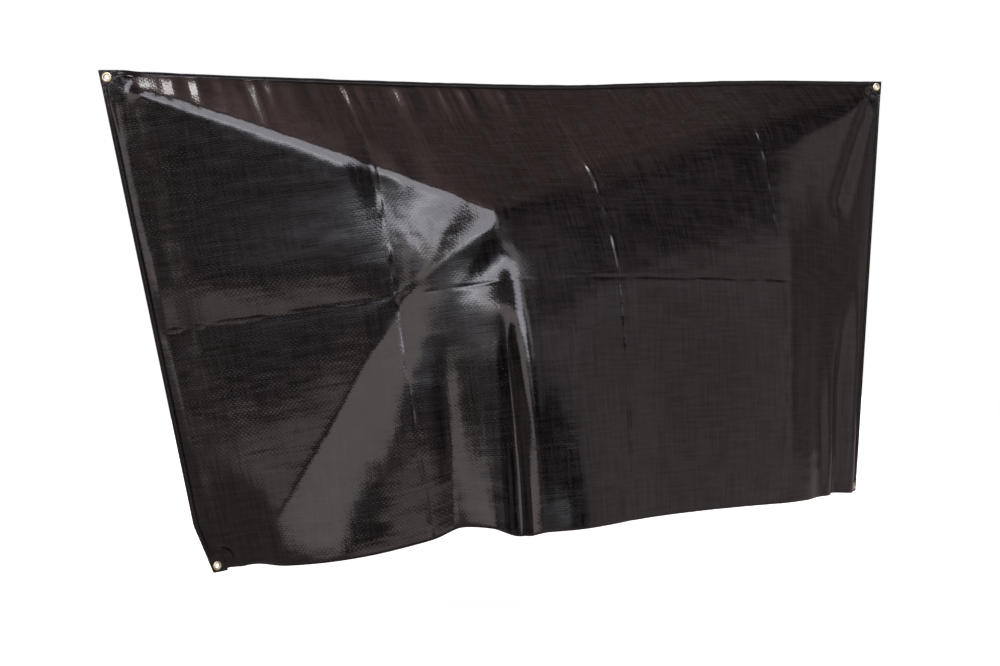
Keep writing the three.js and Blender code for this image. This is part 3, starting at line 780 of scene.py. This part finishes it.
def cloth_measures(node):
    """The cloth's UV map, and its two measures in metres."""
    uv = node("UVMap", uv_map="cloth").outputs[0]
    measures = node("SeparateXYZ", {0: uv})
    return uv, measures.outputs["X"], measures.outputs["Y"]


# %% Tarpaulin
TAPE = 5.0 * MM     # the real tapes are 2.5 mm wide, drawn at twice that so that they show
WEFT_TILT, WARP_TILT, CROWN, RUMPLE = 0.38, 0.42, 0.055, 0.22   # heights in millimetres
WEFT_DRIFT, WARP_DRIFT = 16.0, 14.0     # how often a tape's tilt changes in a metre
NEIGHBOUR = 0.63    # how far apart in the noise two neighbouring tapes are
tarpaulin, node, calc = new_material("laminated_woven_polyethylene")
cloth_uv, over_cloth, down_cloth = cloth_measures(node)
warp, weft = calc("DIVIDE", over_cloth, TAPE), calc("DIVIDE", down_cloth, TAPE)
warp_number, weft_number = calc("FLOOR", warp), calc("FLOOR", weft)
warp_place, weft_place = calc("FRACT", warp), calc("FRACT", weft)


def tape_tilt(x, y, z, place):
    """Each tape tilts by its own amount, which drifts slowly along it."""
    point = node("CombineXYZ", {0: x, 1: y, 2: z})
    drift = node("TexNoise", {"Vector": point.outputs[0], "Scale": 1.0, "Detail": 1.0})
    return calc("MULTIPLY", calc("SUBTRACT", drift.outputs[0], 0.5), calc("SUBTRACT", place, 0.5))


weft_tilt = tape_tilt(
    calc("MULTIPLY", over_cloth, WEFT_DRIFT), calc("MULTIPLY", weft_number, NEIGHBOUR),
    0.0, weft_place,
)
warp_tilt = tape_tilt(
    calc("MULTIPLY", warp_number, NEIGHBOUR), calc("MULTIPLY", down_cloth, WARP_DRIFT),
    7.0, warp_place,
)
warp_crown = calc("SINE", calc("MULTIPLY", warp_place, math.pi))
weft_crown = calc("SINE", calc("MULTIPLY", weft_place, math.pi))
over = calc("PINGPONG", calc("ADD", warp_number, weft_number), 1.0)
crown = node("Mix", {0: over, 2: warp_crown, 3: weft_crown}, data_type="FLOAT").outputs[0]
rumple = node("TexNoise", {
    "Vector": cloth_uv, "Scale": 60.0, "Detail": 3.0, "Roughness": 0.55,
}).outputs[0]
height = calc("MULTIPLY", weft_tilt, WEFT_TILT)
height = calc("MULTIPLY_ADD", warp_tilt, WARP_TILT, height)
height = calc("MULTIPLY_ADD", crown, CROWN, height)
height = calc("MULTIPLY_ADD", rumple, RUMPLE, height)
weave = node("Bump", {"Height": height, "Distance": MM, "Strength": 1.0})
scuffs = node("TexNoise", {
    "Vector": cloth_uv, "Scale": 9.0, "Detail": 6.0, "Roughness": 0.7,
}).outputs[0]


def streaks(along_count, down_count, shift):
    """Noise drawn out along the tapes. The counts are how often it changes in a metre."""
    spread = node("CombineXYZ", {
        0: calc("MULTIPLY", over_cloth, along_count),
        1: calc("MULTIPLY", down_cloth, down_count), 2: shift,
    })
    return node("TexNoise", {
        "Vector": spread.outputs[0], "Scale": 1.0, "Detail": 2.0,
    }).outputs[0]


STREAK_CONTRAST, STREAK_LEVEL, CROWN_TONE = 2.4, -2.0, 0.15
tone = calc("ADD", streaks(11.0, 150.0, 3.0), streaks(150.0, 9.0, 11.0))
tone = calc("MULTIPLY_ADD", tone, STREAK_CONTRAST, STREAK_LEVEL)
tone = calc("MULTIPLY_ADD", crown, CROWN_TONE, tone)
black_film = node("Mix", {
    0: node("Clamp", {0: tone}).outputs[0], 6: srgb("#030202"), 7: srgb("#191616"),
}, data_type="RGBA")
gloss = node("MapRange", {
    "Value": scuffs, "From Min": 0.3, "From Max": 0.7, "To Min": 0.12, "To Max": 0.19,
})
shader = node("BsdfPrincipled", {
    "Base Color": black_film.outputs[2], "Roughness": gloss.outputs[0], "IOR": 1.5,
    "Normal": weave.outputs[0],
})
node("OutputMaterial", {"Surface": shader.outputs["BSDF"]})
print("tarpaulin: weave drawn at", round(TAPE / MM, 1), "mm")

# %% [markdown]
# ## Welded bands and brass
#
# Along the top and both ends the two panels are welded together with a heated, ribbed roller. The
# weld is the same film, pressed hard and a little duller. The eyelets are rolled sheet brass,
# bright when new: a metal, so its colour is in its reflections.

# %% Welded band
RIB = 3.0 * MM      # the roller's real ribs are 1 mm apart, drawn wider so that they show
RIB_HEIGHT, WELD_RUMPLE = 0.03, 0.9
weld, node, calc = new_material("welded_polyethylene")
band_uv, over_band, down_band = cloth_measures(node)
ribs = calc("SINE", calc("MULTIPLY", calc("ADD", over_band, down_band), 2 * math.pi / RIB))
rumple = node("TexNoise", {"Vector": band_uv, "Scale": 90.0, "Detail": 3.0}).outputs[0]
height = calc("MULTIPLY_ADD", ribs, RIB_HEIGHT, calc("MULTIPLY", rumple, WELD_RUMPLE))
pressed = node("Bump", {"Height": height, "Distance": MM, "Strength": 1.0})
film = node("Mix", {0: rumple, 6: srgb("#0b0909"), 7: srgb("#151212")}, data_type="RGBA")
shader = node("BsdfPrincipled", {
    "Base Color": film.outputs[2], "Roughness": 0.24, "IOR": 1.5, "Normal": pressed.outputs[0],
})
node("OutputMaterial", {"Surface": shader.outputs["BSDF"]})

# %% Brass
brass, node, calc = new_material("rolled_bright_brass")
where = node("TexCoord").outputs["Object"]
grain = node("TexNoise", {"Vector": where, "Scale": 900.0, "Detail": 3.0}).outputs[0]
worn = node("Mix", {0: grain, 6: srgb("#d8c79b"), 7: srgb("#efe4c4")}, data_type="RGBA")
rolled = node("Bump", {"Height": grain, "Distance": 0.1 * MM, "Strength": 0.6})
shader = node("BsdfPrincipled", {
    "Base Color": worn.outputs[2], "Metallic": 1.0,
    "Roughness": calc("MULTIPLY_ADD", grain, 0.2, 0.28), "Normal": rolled.outputs[0],
})
node("OutputMaterial", {"Surface": shader.outputs["BSDF"]})

# %% [markdown]
# ## The two panels
#
# One cut length of tarpaulin for each side.

# %% Front and back sheets
front_sheet = sheet_object("front_sheet", front_points, front_along, front_down, -1)
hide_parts("front_panel")
back_sheet = sheet_object("back_sheet", back_points, back_along, back_down, 1)
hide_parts("back_panel")
for piece in (front_sheet, back_sheet):
    print(piece.name, len(piece.data.polygons), "faces")

# %% [markdown]
# ## Welded seams
#
# A weld is a flat double layer with a groove where the roller ran. Its section is drawn once, as a
# closed outline, and a grid wrapped round that outline follows the seam. The grid's first and last
# rows meet, and its two ends are filled.

# %% Seam bands
FRONT_OUTLINE = [
    (0.0, 0.0), (0.5, -1.0), (1.6, -1.5), (4.4, -1.5), (5.0, -1.05), (5.8, -1.05), (6.4, -1.5),
    (9.2, -1.5), (10.0, -1.0),
]
BACK_OUTLINE = [(across, -out) for across, out in reversed(FRONT_OUTLINE)]
BAND_OUTLINE = table("across out", *FRONT_OUTLINE, *BACK_OUTLINE)


def band_object(name, points, along, down):
    """A closed band on a grid whose first and last rows lie on each other."""
    band = grid_mesh(points, along, down)
    bmesh.ops.remove_doubles(band, verts=band.verts[:], dist=0.01 * MM)
    open_edges = [edge for edge in band.edges if edge.is_boundary]
    bmesh.ops.holes_fill(band, edges=open_edges, sides=0)
    bmesh.ops.recalc_face_normals(band, faces=band.faces[:])
    return add_object(name, band, weld, "seam_band")


TOP_OVERLAP, END_OVERLAP = 1.5, 5.0     # how far a band runs in under the corner squares
BAND_FREE, BAND_JOIN = 40.0, 50.0       # where the top band starts to wave, and leaves a corner
top_columns = divide(FAR_CORNER + TOP_OVERLAP, (CORNER_SIZE - TOP_OVERLAP, 7))
along, across = np.meshgrid(top_columns, BAND_OUTLINE["across"], indexing="ij")
out = np.broadcast_to(BAND_OUTLINE["out"], along.shape)
rise = across * TOP_SEAM_HEIGHT / SIDE_SEAM_WIDTH
wave = 0.5 * noise_along(51, along, 60) + 0.3 * noise_along(52, along, 21)
lean = (0.9 * noise_along(53, along, 45)) * rise / TOP_SEAM_HEIGHT
free = ease((distance_from_end(along) - CORNER_SIZE) / BAND_FREE)
points = np.stack([
    along - HALF_LENGTH,
    middle_depth(along, 0.0) + out + lean * free,
    seam_rise(along) + rise + wave * free * rise / TOP_SEAM_HEIGHT,
], axis=-1)
for side in ENDS:
    from_end = along if side == "left" else COVER_LENGTH - along
    corner = end_seam_point(side, from_end, -rise)
    corner[..., 1] += out
    joined = (1 - ease((from_end - CORNER_SIZE) / BAND_JOIN)) * (from_end < HALF_LENGTH)
    points = points + (corner - points) * joined[..., None]
top_band = band_object("top_band", points, along, -rise)
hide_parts("top_seam")


def seam_facing(side, inset, down):
    """The way an end seam's front face looks."""
    inwards = end_seam_point(side, inset + 1, down) - end_seam_point(side, inset, down)
    downwards = end_seam_point(side, inset, down + 1) - end_seam_point(side, inset, down)
    facing = np.cross(inwards, downwards)
    facing = facing / np.linalg.norm(facing, axis=-1, keepdims=True)
    return np.where(facing[..., 1:2] > 0, -facing, facing)


def end_band(side):
    downs = divide(FOOT_LINE + END_OVERLAP, (TOP_NOTCH - END_OVERLAP, 8))
    down, inset = np.meshgrid(downs, BAND_OUTLINE["across"], indexing="ij")
    out = -np.broadcast_to(BAND_OUTLINE["out"], down.shape)
    points = end_seam_point(side, inset, down) + seam_facing(side, inset, down) * out[..., None]
    along = inset if side == "left" else COVER_LENGTH - inset
    return band_object(f"{side}_band", points, along, down)


end_bands = {side: end_band(side) for side in ENDS}
print("bands:", top_band.name, *(band.name for band in end_bands.values()))

# %% [markdown]
# ## Corner squares
#
# At each corner the seam allowance is folded into a stiff square with a punched hole. It starts as
# the ring of the hole, which is extruded outwards until its last ring is the square's outline.

# %% Corner squares with their holes
EYELET_EDGE = 15.0
HOLE_RADIUS = 6.4
RING_STEPS = 6
SQUARE_ROUNDING = 2.0
SQUARE_THICKNESS = 3.4
DIMPLE, DIMPLE_FADE = 0.5, 6.0
SQUARE_DOWN = {"top": -TOP_SEAM_HEIGHT, "bottom": PANEL_DROP + FOOT_HANG - CORNER_SIZE}
EYELET_DOWN = {"top": EYELET_EDGE - TOP_SEAM_HEIGHT, "bottom": PANEL_DROP + FOOT_HANG - EYELET_EDGE}


def square_outline(direction, centre):
    """Where a ray from the hole's centre meets the rounded square's outline."""
    reach = min(
        (CORNER_SIZE - centre[k] if direction[k] > 0 else centre[k]) / max(abs(direction[k]), 1e-6)
        for k in (0, 1)
    )
    spot = [min(max(centre[k] + direction[k] * reach, 0.0), CORNER_SIZE) for k in (0, 1)]
    inner = [min(max(c, SQUARE_ROUNDING), CORNER_SIZE - SQUARE_ROUNDING) for c in spot]
    away = Vector((spot[0] - inner[0], spot[1] - inner[1]))
    if away.length > SQUARE_ROUNDING:
        away = away.normalized() * SQUARE_ROUNDING
    return Vector((inner[0] + away.x, inner[1] + away.y, 0))


def corner_square(end, side):
    centre = Vector((EYELET_EDGE, EYELET_EDGE if end == "top" else CORNER_SIZE - EYELET_EDGE, 0))
    square = bmesh.new()
    made = bmesh.ops.create_circle(square, cap_ends=False, segments=64, radius=HOLE_RADIUS)
    for vert in made["verts"]:
        vert.co += centre
    edges = square.edges[:]
    for step in range(1, RING_STEPS + 1):
        grown = bmesh.ops.extrude_edge_only(square, edges=edges)["geom"]
        fresh = [item for item in grown if isinstance(item, bmesh.types.BMVert)]
        edges = [item for item in grown if isinstance(item, bmesh.types.BMEdge)]
        edges = [edge for edge in edges if set(edge.verts) <= set(fresh)]
        for vert in fresh:
            heading = (vert.co - centre).normalized()
            start = centre + heading * HOLE_RADIUS
            vert.co = start.lerp(square_outline(heading, centre), step / RING_STEPS)
    uv_layer = square.loops.layers.uv.new("cloth")
    for face in square.faces:
        for loop in face.loops:
            loop[uv_layer].uv = (loop.vert.co.x * MM, -loop.vert.co.y * MM)
    for vert in square.verts:
        x, y = vert.co.x, vert.co.y
        down = y + SQUARE_DOWN[end]
        inside = min(1, min(x, y, CORNER_SIZE - x, CORNER_SIZE - y) / DIMPLE_FADE)
        dimple = DIMPLE * math.sin(x * 0.45 + 1) * math.sin(y * 0.38) * inside
        place = end_seam_point(side, x, down) + seam_facing(side, x, down) * dimple
        vert.co = Vector(place) * MM
    bmesh.ops.recalc_face_normals(square, faces=square.faces[:])
    made = add_object(f"{end}_{side}_corner", square, weld, "seam_band")
    thicken(made, SQUARE_THICKNESS)
    edge_round = made.modifiers.new("rounded_edges", "BEVEL")
    edge_round.width = 0.6 * MM
    edge_round.segments = 2
    edge_round.limit_method = "ANGLE"


# %% [markdown]
# ## Eyelets
#
# A brass eyelet is a washer with a rolled rim on each face, joined by a barrel through the cloth.
# Its half section is a few points, spun round the hole's axis and rounded by subdivision.

# %% Eyelets
RIM_SECTION = table(
    "radius height",
    (5.3, 1.2), (5.6, 2.6), (6.6, 3.1), (8.2, 3.15), (9.6, 2.8), (10.4, 2.1), (10.3, 1.75),
    (6.1, 1.75), (6.1, -1.75), (9.9, -1.75), (9.8, -2.1), (8.8, -2.5), (6.6, -2.6), (5.6, -2.2),
    (5.3, -1.2),
)


def eyelet(end, side):
    ring = bmesh.new()
    spots = [ring.verts.new((row["radius"], 0, row["height"])) for row in rows_of(RIM_SECTION)]
    outline = [ring.edges.new((a, b)) for a, b in zip(spots, spots[1:] + spots[:1])]
    bmesh.ops.spin(
        ring, geom=spots + outline, cent=(0, 0, 0), axis=(0, 0, 1), dvec=(0, 0, 0),
        angle=2 * math.pi, steps=48, use_merge=True,
    )
    bmesh.ops.remove_doubles(ring, verts=ring.verts[:], dist=0.001)
    bmesh.ops.recalc_face_normals(ring, faces=ring.faces[:])
    down = EYELET_DOWN[end]
    middle = end_seam_point(side, EYELET_EDGE, down)
    facing = Vector(seam_facing(side, EYELET_EDGE, down))
    turn = Vector((0, 0, 1)).rotation_difference(facing).to_matrix().to_4x4()
    bmesh.ops.transform(ring, matrix=Matrix.Translation(Vector(middle)) @ turn, verts=ring.verts[:])
    bmesh.ops.scale(ring, vec=(MM, MM, MM), verts=ring.verts[:])
    made = add_object(f"{end}_{side}_eyelet", ring, brass, "brass")
    rounding = made.modifiers.new("rolled_rim", "SUBSURF")
    rounding.levels = rounding.render_levels = 1
    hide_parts(f"eyelet_{end}_{side}")


for side in ENDS:
    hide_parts(f"side_seam_{side}")
    for end in ("top", "bottom"):
        corner_square(end, side)
        eyelet(end, side)
print("corner squares and eyelets: 4 of each")

# %% [markdown]
# ## Floor, light and camera
#
# Black gloss film is lit by what it reflects. The studio is therefore a ring of soft cards: a tall
# softbox in front, a large grey card to its left, a wall to the right and a light ceiling. Each
# card is a patch of directions in the world shader with soft edges, and rays from the camera see
# plain white behind the object.

# %% Floor
# The camera sees a nearly white floor, and the film reflects a dimmer one.
FLOOR_HALF, FLOOR_MIDDLE = (3.0, 2.0, 1.0), (0.0, 1.2, -1.37)
pad = bmesh.new()
bmesh.ops.create_grid(pad, x_segments=1, y_segments=1, size=1.0)
bmesh.ops.scale(pad, vec=FLOOR_HALF, verts=pad.verts[:])
bmesh.ops.translate(pad, vec=FLOOR_MIDDLE, verts=pad.verts[:])
floor_paint, node, _ = new_material("pale_studio_floor")
ray = node("LightPath")
bright = node("BsdfPrincipled", {
    "Base Color": srgb("#f6f5f3"), "Roughness": 0.9,
    "Emission Color": srgb("#ffffff"), "Emission Strength": 0.70,
})
dim = node("Emission", {"Color": srgb("#c8b6b4"), "Strength": 0.55})
shown = node("MixShader", {
    0: ray.outputs["Is Camera Ray"], 1: dim.outputs[0], 2: bright.outputs[0],
})
node("OutputMaterial", {"Surface": shown.outputs[0]})
floor = add_object("floor", pad, floor_paint, None)

# %% Studio cards
# A card's name, its azimuth from and to, its lean, its elevation from and to, the softness of its
# edges, its brightness and its colour. Angles are in degrees, and azimuth runs from straight ahead
# of the front panel to the right. "lean" moves a card sideways as it rises.
CARDS = [
    ("ceiling", -180, 180, 0.0, 58, 91, 14, 0.42, "#d0b0aa"),
    ("upper ceiling", -180, 180, 0.0, 76, 91, 16, 0.75, "#d8aaa4"),
    ("studio floor", -180, 180, 0.0, -91, -17, 2, 0.68, "#c8b6b4"),
    ("pale front floor", -40, -8, 0.0, -26, -16, 2, 1.1, "#d8c8c4"),
    ("left haze", -180, -20, 0.0, -20, 50, 8, 0.20, "#b8a8a8"),
    ("right haze", 42, 180, 0.0, -20, 50, 8, 0.13, "#b8a8a8"),
    ("thin window", 14, 28, 0.0, 13, 42, 3, 1.8, "#f0eef4"),
    ("front softbox", -56, -19, 0.85, 17, 58, 3, 6.0, "#f6f4ff"),
    ("low softbox", -27, -10, 0.0, 10, 18, 3, 4.5, "#f6f4ff"),
    ("blue sheen", -34, -14, 0.0, 4, 17, 9, 0.7, "#e4e8f6"),
    ("left card", -78, -43, 0.75, -14, 17, 3, 2.2, "#eee2de"),
    ("right wall", 34, 76, 0.0, -16, 14, 8, 0.54, "#d6caca"),
    ("first slat", 45, 49, 0.0, -16, 12, 2, 0.22, "#d6caca"),
    ("second slat", 56, 59, 0.0, -16, 12, 2, 0.22, "#d6caca"),
    ("third slat", 66, 69, 0.0, -16, 12, 2, 0.20, "#d6caca"),
    ("far right wall", 78, 112, 0.0, -16, 8, 8, 0.12, "#d8c0bc"),
    ("front wall", 8, 54, 0.0, 12, 42, 6, 0.28, "#d0c0c4"),
    ("zenith softbox", -130, 130, 0.0, 82, 91, 2, 14.0, "#fffdfc"),
    ("back softbox", 162, 176, 0.0, 8, 46, 8, 3.0, "#f6f4ff"),
    ("back card", -170, -140, 0.0, -14, 10, 8, 0.25, "#f0ecec"),
]
world = bpy.data.worlds.new("studio")
bpy.context.scene.world = world
world.use_nodes = True
node, calc = helpers(world.node_tree)
directions = node("TexCoord").outputs["Generated"]
heading = node("SeparateXYZ", {0: directions})
ahead = calc("MULTIPLY", heading.outputs["Y"], -1.0)
azimuth = calc("DEGREES", calc("ARCTAN2", heading.outputs["X"], ahead))
elevation = calc("DEGREES", calc("ARCSINE", heading.outputs["Z"]))


def band(value, low, high, soft):
    """1 between low and high, easing to 0 over soft degrees outside them."""
    rise = node("MapRange", {
        "Value": value, "From Min": low - soft, "From Max": low,
    }, interpolation_type="SMOOTHSTEP").outputs[0]
    fall = node("MapRange", {
        "Value": value, "From Min": high, "From Max": high + soft, "To Min": 1.0, "To Max": 0.0,
    }, interpolation_type="SMOOTHSTEP").outputs[0]
    return calc("MULTIPLY", rise, fall)


light = (0.0, 0.0, 0.0)
for name, az0, az1, lean, el0, el1, soft, brightness, colour in CARDS:
    mask = band(elevation, el0, el1, soft)
    if az1 - az0 < 360:
        leaned = calc("MULTIPLY_ADD", elevation, -lean, azimuth)
        mask = calc("MULTIPLY", mask, band(leaned, az0, az1, soft))
    tint = [channel * brightness for channel in srgb(colour)[:3]]
    card = node("VectorMath", {0: tint, 3: mask}, operation="SCALE", label=name).outputs[0]
    light = node("VectorMath", {0: light, 1: card}, operation="ADD").outputs[0]
studio = node("Background", {"Color": light, "Strength": 1.0})
white = node("Background", {"Color": srgb("#ffffff"), "Strength": 1.0})
ray = node("LightPath")
seen = node("MixShader", {
    0: ray.outputs["Is Camera Ray"], 1: studio.outputs[0], 2: white.outputs[0],
})
node("OutputWorld", {"Surface": seen.outputs[0]})
bpy.context.scene.view_settings.view_transform = "Standard"
print("studio:", ", ".join(card[0] for card in CARDS))

# %% Camera
CAMERA_PLACE = Vector((-1.76829, -3.17734, -0.071))
lens = bpy.data.cameras.new("camera")
lens.lens = 54.0
lens.sensor_width = 36.0
camera = bpy.data.objects.new("camera", lens)
bpy.context.scene.collection.objects.link(camera)
right = Vector((0.88701, -0.46175, 0.0))
up = Vector((0.06506, 0.12498, 0.99002))
turn = Matrix((right, up, right.cross(up))).transposed().to_4x4()
camera.matrix_world = Matrix.Translation(CAMERA_PLACE) @ turn
bpy.context.scene.camera = camera
